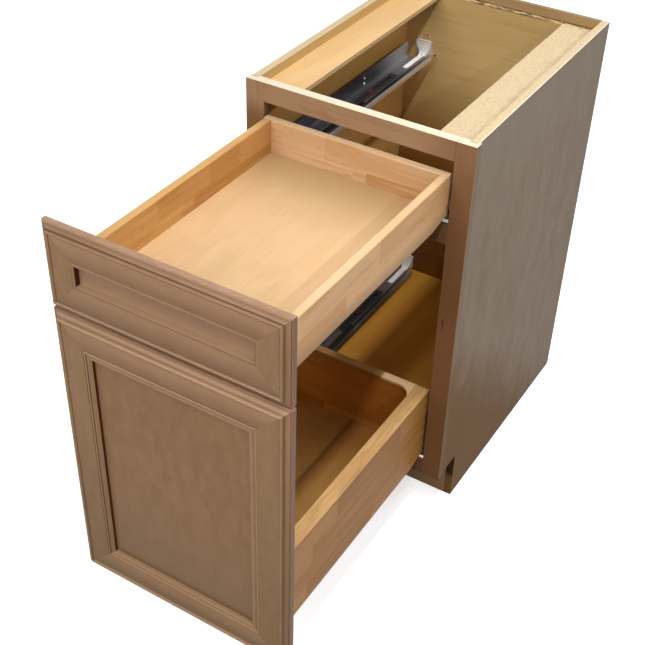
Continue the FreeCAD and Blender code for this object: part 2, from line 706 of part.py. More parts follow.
def release_lever(low):
    """Rounded finger lever that turns on the clip's pivot."""
    top = slide_levels(low)["lip_top"] + CLIP_GAP - RUN_GAP
    run = FreeCAD.Vector(-LEVER_SPLAY, -LEVER_REACH, 0)
    across = FreeCAD.Vector(-run.y, run.x, 0).normalize() * LEVER_RADIUS
    beyond = FreeCAD.Vector(run).normalize() * LEVER_RADIUS
    pivot = FreeCAD.Vector(pivot_x, pivot_y, 0)
    tip = pivot + run

    def at(point):
        return (point.x, point.y)

    face = section(
        level_plane(top),
        at(pivot + across),
        (at(pivot - beyond), at(pivot - across)),
        at(tip - across),
        (at(tip + beyond), at(tip + across)),
    )
    hole_at = FreeCAD.Vector(pivot_x, pivot_y, top)
    hole = rod(PIVOT_RADIUS + PIVOT_CLEARANCE, LEVER_THICKNESS, hole_at, -UPWARD)
    return face.extrude(-UPWARD * LEVER_THICKNESS).cut(hole)


def make_slides(name, low):
    """The left and right slide under one box."""
    pairs = {
        name + "_middle_runners": middle_runner(low),
        name + "_rear_brackets": rear_bracket(low),
        name + "_soft_close_housings": damper_housing(low),
        name + "_soft_close_catches": soft_close_catch(low),
        name + "_lock_clips": lock_clip(low),
    }
    for node, right in pairs.items():
        pieces[node] = Part.makeCompound([handed(right, "left"), right])
    for hand in ("left", "right"):
        pieces[name + "_" + hand + "_fixed_rail"] = handed(fixed_rail(low), hand)
        pieces[name + "_" + hand + "_drawer_runner"] = handed(drawer_runner(low), hand)
        pieces[name + "_" + hand + "_release_lever"] = handed(release_lever(low), hand)


make_carcass()
make_face_frame()
make_front(
    "drawer_front", drawer_front_z, DRAWER_FRONT_HEIGHT,
    DRAWER_FIELD, DRAWER_STICKING, False, DRAWER_PANEL_BACK,
)
make_front("door", door_z, door_height, DOOR_FIELD, DOOR_STICKING, True, DOOR_PANEL_BACK)
make_box("drawer_box", drawer_low_z, DRAWER_BOX_HEIGHT, TOP_ROUND)
make_box("bin_box", bin_low_z, BIN_BOX_HEIGHT, 0)
make_bin_rim()
make_slides("drawer", drawer_low_z)
make_slides("bin", bin_low_z)

os.makedirs("parts", exist_ok=True)
for node, shape in pieces.items():
    shape.exportStep("parts/" + node + ".step")
print(len(pieces), "pieces, travel", round(travel, 2), "mm")
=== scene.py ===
"""The look of a framed base cabinet with a drawer over a pull-out bin box, both pulled right out."""
import math
import random
import bmesh
import bpy
from mathutils import Matrix, Vector


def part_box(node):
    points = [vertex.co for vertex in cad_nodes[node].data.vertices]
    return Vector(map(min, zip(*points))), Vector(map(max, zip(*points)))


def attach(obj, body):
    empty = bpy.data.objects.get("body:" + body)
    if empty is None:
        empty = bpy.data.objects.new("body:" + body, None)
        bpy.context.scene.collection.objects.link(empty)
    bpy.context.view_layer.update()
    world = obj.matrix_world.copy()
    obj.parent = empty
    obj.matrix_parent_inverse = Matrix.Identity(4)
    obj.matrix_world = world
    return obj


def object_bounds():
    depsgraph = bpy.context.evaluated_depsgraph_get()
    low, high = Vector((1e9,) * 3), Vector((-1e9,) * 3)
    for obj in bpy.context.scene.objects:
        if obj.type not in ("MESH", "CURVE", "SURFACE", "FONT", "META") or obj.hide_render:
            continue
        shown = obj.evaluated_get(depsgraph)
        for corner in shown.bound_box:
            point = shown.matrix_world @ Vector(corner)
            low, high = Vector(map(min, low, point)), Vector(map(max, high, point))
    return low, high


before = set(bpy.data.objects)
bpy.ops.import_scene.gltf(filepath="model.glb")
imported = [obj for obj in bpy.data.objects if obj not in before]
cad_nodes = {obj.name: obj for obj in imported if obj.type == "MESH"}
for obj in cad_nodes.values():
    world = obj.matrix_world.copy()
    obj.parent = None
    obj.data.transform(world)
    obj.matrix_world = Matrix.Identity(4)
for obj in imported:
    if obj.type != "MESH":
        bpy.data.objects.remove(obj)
cad_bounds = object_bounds()

MM = 0.001
X, Y, Z = 0, 1, 2

# Camera, worked out from the cabinet's known height and depth in the photograph
CAMERA_PLACE = Vector((0.87553, -1.59637, 1.80332))
CAMERA_AZIMUTH = math.radians(30.70)
CAMERA_ELEVATION = math.radians(37.67)
CAMERA_ROLL = math.radians(1.71)
CAMERA_LENS = 65.08
SENSOR_WIDTH = 36.0

# Rows of lamps above and the floor, in metres
LAMP_ROW_HEIGHT = 2.7
LAMP_ROW_Y = -0.2
LAMP_ROW_SIZE = (0.12, 3.8)
FLOOR_HALF = 8.0

# Mouldings of the two fronts: distances in from the outer edge, in millimetres
EDGE_BAND = 2.5
COVE_DEEPEST = 6.5
COVE_END = 10.5
BEAD_CREST = 14.0
BEAD_END = 17.5
FIELD_EDGE = 21.0
DRAWER_FIELD_END = 55.0
DRAWER_SILL = 57.5
DRAWER_PANEL_EDGE = 60.0
DOOR_FIELD_LINE = 55.0
DOOR_FIELD_END = 57.5
DOOR_BEAD_CREST = 59.7
DOOR_BEAD_END = 61.9
DOOR_SILL = 69.5
DOOR_PANEL_EDGE = 72.5

# Places on the carcass, in millimetres: how far in still counts as an outer face, the layers of plywood,
# a dark streak in the right stile, and a paler band half-way up that stile
SKIN = 1.5
PLY_LAYER = 1.6
STREAK_X = 201.0
STREAK_Z = 503.0
PALE_BAND_Z = 415.0
PALE_BAND_HALF = 190.0

# Boards of the boxes, in millimetres: the blocks they are glued up from, where a row of blocks starts
# with its height, and how far below that start the painted shade at the foot begins and is at its full
# tone
BLOCK_LENGTH = 230.0
FINGER_PITCH = 9.0
FINGER_DEPTH = 4.0
DRAWER_ROWS = (767.0, 60.0)
BIN_ROWS = (160.0, 41.0)
FOOT_SHADE_FROM = 14.0
FOOT_SHADE_FULL = 42.0

# Bin rim, in millimetres: where long and cross strips meet, where the rear cross strip lies, and where
# a painted shadow edge crosses it, with how soft that edge is
RIM_JOINT_X = 157.0
RIM_REAR_Y = -300.0
RIM_SHADOW_EDGE_X = 88.0
RIM_SHADOW_SOFTNESS = 2.0

# Eased edges, in millimetres
BOARD_EASE = 0.8
SHEET_EASE = 0.25
RAIL_EASE = 0.5
EASE_STEPS = 2
EASE_ANGLE = math.radians(35)
WELD_GAP = 0.001

# Slides, in millimetres: the lip of the rails with its painted highlight out from the middle, the tabs
# at their front and
# how far below the boxes these are rubbed, a height between the two pairs, and the rails' screws
LIP_X = 134.6
TAB_END_Y = -20.0
TAB_RUBBED_DROP = 4.0
BETWEEN_PAIRS_Z = 500.0
RAIL_SCREW_Y = 364.0
RAIL_SCREW_RISES = (9.5, 21.5)
FLANGE_THICKNESS = 1.5

# Screws through the box fronts: millimetres out from the middle, and shares of the height
FRONT_SCREW_X = 110.0
FRONT_SCREW_SHARES = (0.4, 0.75)

# Screw heads: radius in millimetres, then rings of radius and height and the cross recess as its shares
SCREW_RADIUS = 3.6
SCREW_SIDES = 24
SCREW_RINGS = ((1.0, 0.0), (1.0, 0.2), (0.86, 0.4), (0.62, 0.46))
RECESS_ARM = 0.44
RECESS_HALF = 0.12
RECESS_FLOOR = 0.2
RECESS_TAPER = 0.7

# Damage on the back panel, in millimetres: centres of torn screw holes, the left, right, low and high
# edge of a patch of loose fibres, and the ends of strips torn up along the top edge, with their greatest
# depth, their thickness and how far they root in the panel
TORN_HOLES = ((-161.0, 759.0), (-138.0, 717.0))
SPLINTERS = 13
TORN_PATCH = (-184.0, -154.0, 750.0, 758.0)
FIBRES = 16
TORN_STRIPS = ((-109.0, -86.0), (-59.0, -37.0), (-25.0, 14.0), (22.0, 102.0))
TEAR_DEPTH = 1.6
TEAR_THICKNESS = 0.5
TEAR_ROOT = 0.1

top_z = cad_bounds[1][Z]


def srgb(code):
    """Linear colour of an sRGB hex code."""
    channels = [int(code[i:i + 2], 16) / 255 for i in (1, 3, 5)]
    linear = [c / 12.92 if c <= 0.04045 else ((c + 0.055) / 1.055) ** 2.4 for c in channels]
    return (*linear, 1.0)


def add(tree, kind, inputs=(), **settings):
    """Adds a node with its settings. Inputs are values, sockets or nodes, in order or by socket."""
    node = tree.nodes.new(kind)
    for name, value in settings.items():
        setattr(node, name, value)
    pairs = inputs.items() if isinstance(inputs, dict) else enumerate(inputs)
    for key, value in pairs:
        if isinstance(value, bpy.types.Node):
            value = next(socket for socket in value.outputs if socket.enabled)
        if isinstance(value, bpy.types.NodeSocket):
            tree.links.new(value, node.inputs[key])
        else:
            node.inputs[key].default_value = value
    return node


class Finish:
    """A finish while it is mixed: its material, its nodes and the colour laid on so far."""

    def __init__(self, name, colour, roughness, metallic=0.0, gloss=0.5):
        self.material = bpy.data.materials.new(name)
        self.material.use_nodes = True
        self.tree = self.material.node_tree
        self.shader = self.tree.nodes["Principled BSDF"]
        self.shader.inputs["Roughness"].default_value = roughness
        self.shader.inputs["Metallic"].default_value = metallic
        self.shader.inputs["Specular IOR Level"].default_value = gloss
        self.colour = srgb(colour)
        # Object coordinates are the cabinet's own frame, in metres
        self.vector = self.add("ShaderNodeTexCoord").outputs["Object"]
        split = self.add("ShaderNodeSeparateXYZ", (self.vector,))
        self.place = [split.outputs[axis] for axis in (X, Y, Z)]

    def add(self, kind, inputs=(), **settings):
        return add(self.tree, kind, inputs, **settings)

    def streaks(self, along, width, length, seed, detail=3.0, vector=None):
        """Noise drawn out along the grain, with streaks of this width and length in millimetres."""
        scale = [1 / (width * MM)] * 3
        scale[along] = 1 / (length * MM)
        start = (seed, seed, seed)
        moved = self.add("ShaderNodeMapping", {0: vector or self.vector, 1: start, 3: scale})
        noise = self.add("ShaderNodeTexNoise", {"Vector": moved, "Scale": 1.0, "Detail": detail})
        return noise.outputs[0]

    def arches(self, along, width, length, rings, seed):
        """Contour lines of drawn-out noise: the arches that a sliced veneer shows, from -1 to 1."""
        noise = self.streaks(along, width, length, seed, 1.0)
        turns = self.add("ShaderNodeMath", (noise, rings * math.tau), operation="MULTIPLY")
        return self.add("ShaderNodeMath", (turns,), operation="SINE")

    def line(self, distance, place, half_width):
        """1 where a distance in metres is at this place in millimetres, fading out to each side."""
        gap = self.add("ShaderNodeMath", (distance, place * MM), operation="SUBTRACT")
        gap = self.add("ShaderNodeMath", (gap,), operation="ABSOLUTE")
        fade = (gap, 0.0, half_width * MM, 1.0, 0.0)
        return self.add("ShaderNodeMapRange", fade, interpolation_type="SMOOTHSTEP")

    def facing(self, axis):
        """How squarely the real surface faces along an axis, from -1 to 1."""
        normal = self.add("ShaderNodeNewGeometry").outputs["True Normal"]
        turned = self.add(
            "ShaderNodeVectorTransform",
            (normal,),
            vector_type="NORMAL",
            convert_from="WORLD",
            convert_to="OBJECT",
        )
        return self.add("ShaderNodeSeparateXYZ", (turned,)).outputs[axis]

    def lay(self, second, pattern, low, high, share=1.0, within=()):
        """Lays a second colour over the first as a pattern goes from low to high, within some masks."""
        spread = (pattern, low, high, 0.0, share)
        cover = self.add("ShaderNodeMapRange", spread, interpolation_type="SMOOTHSTEP")
        for mask in within:
            cover = self.add("ShaderNodeMath", (cover, mask), operation="MULTIPLY")
        second = srgb(second) if isinstance(second, str) else second
        self.colour = self.add("ShaderNodeMix", {0: cover, 6: self.colour, 7: second}, data_type="RGBA")

    def shade(self, second, axis, start, end, share=1.0, within=()):
        """Lays a second colour from one place along an axis to another, both in millimetres."""
        self.lay(second, self.place[axis], start * MM, end * MM, share, within)

    def done(self, height=None, depth=0.0):
        """Gives the shader its colour and, where there is a height pattern, relief in millimetres."""
        final = next(socket for socket in self.colour.outputs if socket.enabled)
        self.tree.links.new(final, self.shader.inputs["Base Color"])
        if height:
            relief = {"Strength": 1.0, "Distance": depth * MM, "Height": height}
            bump = self.add("ShaderNodeBump", relief)
            self.tree.links.new(bump.outputs[0], self.shader.inputs["Normal"])
        return self.material


# Stained maple of the fronts, the face frame and the finished sides

def wipe_stain(finish, along, light, dark, seed, clouds=0.8):
    """A stain wiped on by hand: soft clouds of a lighter tone, and darker pores along the grain."""
    finish.lay(light, finish.streaks(along, 22, 45, seed), 0.3, 0.7, clouds)
    finish.lay(dark, finish.streaks(along, 70, 110, seed + 5.3), 0.45, 0.75, 0.08)
    finish.lay(light, finish.streaks(along, 2.5, 12, seed + 2.2), 0.5, 0.75, 0.35)
    pores = finish.streaks(along, 3.0, 45, seed + 9.1)
    finish.lay(dark, pores, 0.5, 0.8, 0.2)
    return pores


def inward_distance(finish, low, high):
    """Distances in from a front's upright edges, from its level edges and from the nearest one."""
    middle_z = (low.z + high.z) / 2
    across = finish.add("ShaderNodeMath", (finish.place[X],), operation="ABSOLUTE")
    in_x = finish.add("ShaderNodeMath", (high.x, across), operation="SUBTRACT")
    rise = finish.add("ShaderNodeMath", (finish.place[Z], middle_z), operation="SUBTRACT")
    rise = finish.add("ShaderNodeMath", (rise,), operation="ABSOLUTE")
    in_z = finish.add("ShaderNodeMath", (high.z - middle_z, rise), operation="SUBTRACT")
    return in_x, in_z, finish.add("ShaderNodeMath", (in_x, in_z), operation="MINIMUM")


def stained_front(name, along, tones, edges, glazed, worn_and_highlit, cove_glaze_and_shade=0.0, painted_sheen=None, rubbing=0.0):
    """Maple with a wiped taupe stain, a dark glaze left in the mouldings, and a satin spray coat.

    The edges are the front's corners, where its panel starts and, on a level member, the two sides of
    the field that gets painted shading. Glazed lines and pale crest lines, part wear and part painted
    highlight, have a share by their distance in, bands of painted sheen a half width too.
    """
    base, light, dark = tones
    box, panel_edge, field_shade = edges
    finish = Finish(name, base, 0.42, gloss=0.1)
    pores = wipe_stain(finish, along, light, dark, 3.1)
    in_x, in_z, inward = inward_distance(finish, *box)
    # The glaze lies on the face alone: behind, the stain is even
    behind = finish.add("ShaderNodeMath", (finish.facing(Y), 0.5), operation="GREATER_THAN")
    inward = finish.add("ShaderNodeMath", (inward, behind), operation="ADD")
    # A paler pinkish tone over the hollow along the outer edge, a painted reflection of the lamps in the
    # coat
    finish.lay("#9d7a66", inward, COVE_END * MM, 4 * MM, 0.5)
    # Darker in the deepest part of the hollow: glaze, and painted shade
    finish.lay("#5a3c2c", finish.line(inward, COVE_DEEPEST, 4.5), 0.1, 0.9, cove_glaze_and_shade)
    # Darker and browner towards the foot
    finish.shade("#74562f", Z, 620, 100, 0.55)
    # Painted shading across a level field: darker towards its lower side, paler towards its upper side
    if field_shade:
        upper, lower = (place * MM for place in field_shade)
        inside = finish.add("ShaderNodeMath", (inward, min(upper, lower)), operation="GREATER_THAN")
        before = finish.add("ShaderNodeMath", (inward, max(upper, lower)), operation="LESS_THAN")
        finish.lay(dark, inward, upper, lower, 0.32, (inside, before))
        finish.lay("#c9a684", inward, lower, upper, 0.2, (inside, before))
    # Wide soft bands of painted sheen, where the mouldings catch the lamps
    for place, (half_width, share) in (painted_sheen or {}).items():
        finish.lay("#c9a684", finish.line(inward, place, half_width), 0.0, 1.0, share)
    for place, share in glazed.items():
        finish.lay("#452b1b", finish.line(inward, place, 1.3), 0.1, 0.9, share)
    # Pale crest lines: wear, and a painted highlight where the beads catch the light
    for place, share in worn_and_highlit.items():
        finish.lay("#e2c19c", finish.line(inward, place, 1.3), 0.1, 0.9, share)
    # A thin dark line along the mitres
    mitre = finish.add("ShaderNodeMath", (in_x, in_z), operation="SUBTRACT")
    on_frame = finish.add("ShaderNodeMath", (inward, panel_edge * MM), operation="LESS_THAN")
    finish.lay("#4a3020", finish.line(mitre, 0.0, 1.0), 0.1, 1.0, 0.16, (on_frame,))
    # Handling rubbed the outer edge pale in places
    rubbed = finish.streaks(along, 6, 18, 1.9)
    finish.lay("#b5977c", rubbed, 0.4, 0.7, rubbing, (finish.line(inward, 0.8, 2.2),))
    # Faces turned sideways carry painted shade, deepest on the upright walls round the panel, which also
    # hold glaze, and the sill below the panel, facing up, a painted highlight
    wall = finish.line(inward, panel_edge, 1.0)
    sideways = finish.add("ShaderNodeMath", (finish.facing(X),), operation="ABSOLUTE")
    finish.lay("#54391f", sideways, 0.6, 0.9, 0.6)
    finish.lay("#4f2a18", sideways, 0.5, 0.8, 1.0, (wall,))
    finish.lay("#b0906e", finish.facing(Z), 0.5, 0.8, 0.3, (wall,))
    return finish.done(pores, 0.1)


def stained_panel(name, along, tones, low_z, high_z):
    """The fronts' flat panels: the same stain on veneer, cloudier, with another tone low down, painted
    light on the drawer's.
    """
    base, light, low = tones
    finish = Finish(name, base, 0.45, gloss=0.15)
    pores = wipe_stain(finish, along, light, "#5f442d", 6.6, 0.6)
    finish.lay(low, finish.place[Z], (low_z + high_z) / 2, low_z, 0.75)
    return finish.done(pores, 0.08)


def raw_wood(finish):
    """Sawn wood without a finish: cream, with short darker specks."""
    speckle = finish.streaks(Y, 2.2, 5, 5.9, 4.0)
    share = finish.add("ShaderNodeMapRange", (speckle, 0.5, 0.75, 0.0, 0.6))
    tones = {0: share, 6: srgb("#cfba97"), 7: srgb("#a28a66")}
    return finish.add("ShaderNodeMix", tones, data_type="RGBA")


def bare_top(finish, raw):
    """Leaves the edges that a worktop will cover unstained."""
    high = finish.add("ShaderNodeMath", (finish.place[Z], top_z - SKIN * MM), operation="GREATER_THAN")
    finish.lay(raw, finish.facing(Z), 0.7, 0.9, 1.0, (high,))


def stained_frame(name, along, deep_shade, deep_shade_z):
    """The face frame's solid maple: a redder stain than the fronts, painted shade lower down and painted
    light near the top.
    """
    finish = Finish(name, "#886344", 0.42, gloss=0.02)
    pores = wipe_stain(finish, along, "#8f694a", "#4f3220", 2.4)
    # Painted shade deepening downwards, where the drawers above keep the light off, and painted light
    # near the top
    finish.shade(deep_shade, Z, 800, deep_shade_z, 0.8)
    finish.shade("#ab8c6d", Z, 800, 850, 0.9)
    finish.lay("#7d6045", finish.streaks(along, 30, 80, 4.1), 0.5, 0.75, 0.4)
    # To the right the stain is more even
    finish.shade("#866346", X, 100, 200, 0.75)
    finish.lay("#7f5238", finish.streaks(along, 7, 240, 6.3), 0.5, 0.7, 0.22)
    # Half-way up, the right stile is paler
    right = finish.add("ShaderNodeMath", (finish.place[X], 0.0), operation="GREATER_THAN")
    thin = finish.line(finish.place[Z], PALE_BAND_Z, PALE_BAND_HALF)
    finish.lay("#9a6e53", thin, 0.0, 1.0, 0.85, (right,))
    # The stiles' outer sides were wiped with the paler stain of the side panels; on the right, browner
    # towards the foot, a painted reflection of the floor
    hand = finish.add("ShaderNodeMath", (finish.place[X],), operation="SIGN")
    outward = finish.add("ShaderNodeMath", (finish.facing(X), hand), operation="MULTIPLY")
    finish.lay("#857462", outward, 0.6, 0.9, 0.9)
    outer = finish.add("ShaderNodeMath", (outward, 0.8), operation="GREATER_THAN")
    finish.shade("#6e5430", Z, 470, 330, 0.95, (outer, right))
    # A dark mineral streak in the right stile
    streak = finish.line(finish.place[Z], STREAK_Z, 20)
    finish.lay("#2c150b", finish.line(finish.place[X], STREAK_X, 1.6), 0.15, 0.6, 1.0, (streak,))
    bare_top(finish, "#e6d3bb")
    return finish.done(pores, 0.1)


def taupe_veneer():
    """Stained veneer of the finished sides: greyer than the frame, softly clouded, with a satin coat."""
    finish = Finish("taupe_stained_veneer", "#86786b", 0.5, gloss=0.03)
    finish.lay("#8e8174", finish.streaks(Z, 30, 60, 2.2), 0.3, 0.7)
    finish.lay("#776657", finish.streaks(Z, 60, 130, 8.2), 0.45, 0.7, 0.3)
    finish.lay("#93857a", finish.streaks(Z, 7, 14, 4.6), 0.5, 0.75, 0.35)
    finish.shade("#8b857a", Z, 600, 850, 0.5)
    grain = finish.streaks(Z, 4, 110, 9.4)
    finish.lay("#67564a", grain, 0.5, 0.8, 0.12)
    # On the right side a brown painted reflection of the floor in the satin coat, deeper towards the
    # foot, more so near the front
    right = finish.add("ShaderNodeMath", (finish.place[X], 0.0), operation="GREATER_THAN")
    slope = (finish.place[Y], 0.8, finish.place[Z])
    tilt = finish.add("ShaderNodeMath", slope, operation="MULTIPLY_ADD")
    cloud = (finish.streaks(Z, 80, 150, 5.7), 0.2, tilt)
    ragged = finish.add("ShaderNodeMath", cloud, operation="MULTIPLY_ADD")
    finish.lay("#6a4a1e", ragged, 0.6, 0.35, 0.95, (right,))
    # Inside, the sides have a clear coat, with a golden tint painted below the planks for the shade
    # there
    across = finish.add("ShaderNodeMath", (finish.place[X],), operation="ABSOLUTE")
    outer_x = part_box("right_side_panel")[1][X]
    clear = finish.add("ShaderNodeMath", (across, outer_x - SKIN * MM), operation="LESS_THAN")
    clear_tones = {0: grain, 6: srgb("#c5a873"), 7: srgb("#b3935b")}
    finish.lay(finish.add("ShaderNodeMix", clear_tones, data_type="RGBA"), clear, 0.0, 1.0)
    finish.lay("#d2a25c", finish.place[Z], top_z - 18 * MM, top_z - 60 * MM, 0.8, (clear,))
    # The notch for the toe board: painted shade, with painted light at its foot
    toe = finish.add("ShaderNodeMath", (finish.facing(Y), -0.8), operation="LESS_THAN")
    finish.lay("#3f2a18", toe, 0.0, 1.0)
    finish.shade("#8a6c40", Z, 62, 45, 0.8, (toe,))
    # The top edge is bare, palest along its outer corner
    bare_top(finish, raw_wood(finish))
    upward = finish.add("ShaderNodeMath", (finish.facing(Z), 0.8), operation="GREATER_THAN")
    finish.lay("#ece0c6", finish.line(across, outer_x / MM - 1, 1.8), 0.1, 0.7, 0.9, (upward,))
    return finish.done(grain, 0.06)


# Plywood

def clear_ply(name, along, tones, figure=0.5, seed=4.4, waves=(120, 600)):
    """Clear-coated maple plywood: tan, with the faint arches of its face veneer."""
    middle, light, dark = tones
    finish = Finish(name, middle, 0.45, gloss=0.35)
    finish.lay(light, finish.arches(along, *waves, 5, seed), -1.0, 1.0, figure)
    finish.lay(dark, finish.streaks(along, 60, 200, seed + 1.7), 0.45, 0.75, 0.2)
    grain = finish.streaks(along, 3.5, 70, seed + 3.1)
    finish.lay(dark, grain, 0.5, 0.8, 0.22)
    return finish, grain


def ply_edge(finish, across, facing_axis):
    """The sawn edge of plywood: its layers, by turns light and dark."""
    turning = math.tau / (2 * PLY_LAYER * MM)
    turns = finish.add("ShaderNodeMath", (finish.place[across], turning), operation="MULTIPLY")
    layers = finish.add("ShaderNodeMath", (turns,), operation="SINE")
    edge = finish.add("ShaderNodeMath", (finish.facing(facing_axis),), operation="ABSOLUTE")
    edge = finish.add("ShaderNodeMath", (edge, 0.8), operation="GREATER_THAN")
    finish.lay("#d9bf94", edge, 0.0, 1.0, 0.8)
    finish.lay("#86663f", layers, 0.1, 0.3, 0.7, (edge,))


def rough_ply():
    """Unfinished plywood, sawn and handled: cream, speckled, with grey smudges along one edge."""
    finish = Finish("unfinished_ply", "#cab48f", 0.75, gloss=0.1)
    finish.lay(raw_wood(finish), finish.streaks(Y, 14, 40, 1.2), 0.2, 0.5)
    smudge = finish.streaks(Y, 9, 30, 7.3)
    finish.lay("#a08f70", smudge, 0.4, 0.7, 0.55, (finish.line(finish.place[X], 205, 40),))
    ply_edge(finish, Z, X)
    return finish.done(smudge, 0.3)


def back_ply():
    """The back panel's clear plywood, with torn holes and a dirty, chipped top edge."""
    finish, grain = clear_ply("carcass_back_ply", X, ("#c8a76c", "#d0af74", "#a7844c"))
    # Inside, painted light and shade: paler near the top, darker and browner towards the floor; the rear
    # was left as it came
    inside = (finish.add("ShaderNodeMath", (finish.facing(Y), -0.8), operation="LESS_THAN"),)
    finish.shade("#dcbb7e", Z, 820, 700, 0.7, inside)
    finish.shade("#8e5d20", Z, 700, 460, 0.9, inside)
    finish.shade("#6b3a08", Z, 500, 400, 0.9, inside)
    finish.lay("#8c6c36", finish.streaks(X, 6, 160, 8.7), 0.5, 0.75, 0.22)
    upward = finish.add("ShaderNodeMath", (finish.facing(Z), 0.8), operation="GREATER_THAN")
    finish.lay("#7d6039", upward, 0.0, 1.0)
    finish.lay("#d3bd96", finish.streaks(X, 5, 16, 3.3), 0.48, 0.55, 0.9, (upward,))
    finish.lay("#4a351b", finish.streaks(X, 4, 9, 6.4), 0.66, 0.7, 0.8, (upward,))
    for x, z in TORN_HOLES:
        beside = finish.line(finish.place[Z], z, 3.4)
        finish.lay("#241206", finish.line(finish.place[X], x, 4.2), 0.25, 0.6, 1.0, (beside,))
    return finish.done(grain, 0.05)


# Rubberwood boxes

def rubberwood(name, along, rows, tones, contrast, seed, joints=(), ends=None):
    """Clear-coated rubberwood, glued up from short finger-jointed blocks, each with its own tone.

    Joints are places past which a row is darker: its number, millimetres along the grain and a share.
    """
    row_start, row_height = rows
    dark, middle, light, pore = tones
    finish = Finish(name, middle, 0.45, gloss=0.07)
    rise = finish.add("ShaderNodeMath", (finish.place[Z], row_start * MM), operation="SUBTRACT")
    rise = finish.add("ShaderNodeMath", (rise, 1 / (row_height * MM)), operation="MULTIPLY")
    row = finish.add("ShaderNodeMath", (rise,), operation="FLOOR")
    draw = finish.add("ShaderNodeMath", (row, seed), operation="ADD")
    shift = finish.add("ShaderNodeTexWhiteNoise", {"W": draw}, noise_dimensions="1D").outputs["Value"]
    # The fingers make the blocks' ends zigzag up the board
    teeth = finish.add("ShaderNodeMath", (finish.place[Z], FINGER_PITCH * MM / 2), operation="PINGPONG")
    reach = finish.add("ShaderNodeMath", (teeth, 2 * FINGER_DEPTH / FINGER_PITCH), operation="MULTIPLY")
    length = finish.add("ShaderNodeMath", (finish.place[along], reach), operation="ADD")
    blocks = finish.add("ShaderNodeMath", (length, 1 / (BLOCK_LENGTH * MM)), operation="MULTIPLY")
    blocks = finish.add("ShaderNodeMath", (blocks, shift), operation="ADD")
    block = finish.add("ShaderNodeMath", (blocks,), operation="FLOOR")
    number = finish.add("ShaderNodeCombineXYZ", (row, block, seed))
    chance = finish.add("ShaderNodeTexWhiteNoise", {"Vector": number}, noise_dimensions="3D")
    finish.lay(dark, chance.outputs["Value"], 0.55, 0.0, contrast)
    finish.lay(light, chance.outputs["Value"], 0.45, 1.0, contrast)
    for level, start, share in joints:
        in_row = finish.add("ShaderNodeMath", (row, level, 0.5), operation="COMPARE")
        finish.lay(dark, length, start * MM, (start + 0.5) * MM, share, (in_row,))
    # Each block has grain of its own, taken from another part of the noise
    scatter = {0: chance.outputs["Color"], "Scale": 3.0}
    away = finish.add("ShaderNodeVectorMath", scatter, operation="SCALE")
    own = finish.add("ShaderNodeVectorMath", (finish.vector, away), operation="ADD").outputs[0]
    finish.lay(dark, finish.streaks(along, 9, 150, 8.8, 1.5, own), 0.5, 0.75, 0.5)
    finish.lay(light, finish.streaks(along, 14, 220, 3.8, 1.0, own), 0.5, 0.8, 0.4)
    pores = finish.streaks(along, 1.6, 22, 5.5, 2.0, own)
    finish.lay(pore, pores, 0.58, 0.75, 0.4)
    if ends:
        sawn = finish.add("ShaderNodeMath", (finish.facing(along),), operation="ABSOLUTE")
        finish.lay(ends, sawn, 0.6, 0.9)
    # Upward faces are paler, a painted highlight, and the foot of the upper boards is greyer, painted
    # shade
    finish.lay(light, finish.facing(Z), 0.5, 0.9, 0.5)
    finish.shade("#8a6f62", Z, row_start - FOOT_SHADE_FROM, row_start - FOOT_SHADE_FULL, 0.5)
    return finish.done(pores, 0.08)


def rim_strips():
    """The bin rim's clear-coated strips: long ones down the sides, cross ones butted between them."""
    finish = Finish("rim_strip_wood", "#c59b68", 0.45, gloss=0.07)
    across = finish.add("ShaderNodeMath", (finish.place[X],), operation="ABSOLUTE")
    long_strip = finish.add("ShaderNodeMath", (across, RIM_JOINT_X * MM), operation="GREATER_THAN")
    lengthways = finish.streaks(Y, 3.0, 70, 2.7)
    crossways = finish.streaks(X, 3.0, 70, 4.9)
    either = {0: long_strip, 2: crossways, 3: lengthways}
    grain = finish.add("ShaderNodeMix", either, data_type="FLOAT")
    finish.lay("#d2a973", finish.streaks(Y, 40, 130, 6.1), 0.4, 0.65)
    # The rear cross strip has painted shadow to the left of an edge and painted light to its right,
    # and the outer edges are darker
    cross = finish.add("ShaderNodeMath", (across, RIM_JOINT_X * MM), operation="LESS_THAN")
    rear = finish.add("ShaderNodeMath", (finish.place[Y], RIM_REAR_Y * MM), operation="GREATER_THAN")
    dark_end = RIM_SHADOW_EDGE_X - RIM_SHADOW_SOFTNESS
    pale_start = RIM_SHADOW_EDGE_X + RIM_SHADOW_SOFTNESS
    finish.shade("#8a5f28", X, pale_start, dark_end, 0.65, (cross, rear))
    finish.shade("#e8c898", X, dark_end, pale_start, 0.8, (cross, rear))
    sideways = finish.add("ShaderNodeMath", (finish.facing(X),), operation="ABSOLUTE")
    finish.lay("#7d582b", sideways, 0.7, 0.9, 0.7)
    finish.lay("#8a6236", grain, 0.48, 0.75, 0.5)
    finish.lay("#5f3f1f", finish.line(across, RIM_JOINT_X, 0.8), 0.2, 1.0, 0.6)
    return finish.done(grain, 0.08)


# Slide hardware

def sheet_steel(name, low, high, rough):
    """Sheet steel: grey, rolled along its length, with dull cloudy patches."""
    finish = Finish(name, low, rough, metallic=1.0)
    finish.lay(high, finish.streaks(Y, 14, 90, 6.1), 0.3, 0.7)
    rolled = finish.streaks(Y, 1.2, 160, 2.9)
    spread = finish.add("ShaderNodeMapRange", (rolled, 0.3, 0.7, rough - 0.08, rough + 0.12))
    finish.tree.links.new(spread.outputs[0], finish.shader.inputs["Roughness"])
    return finish


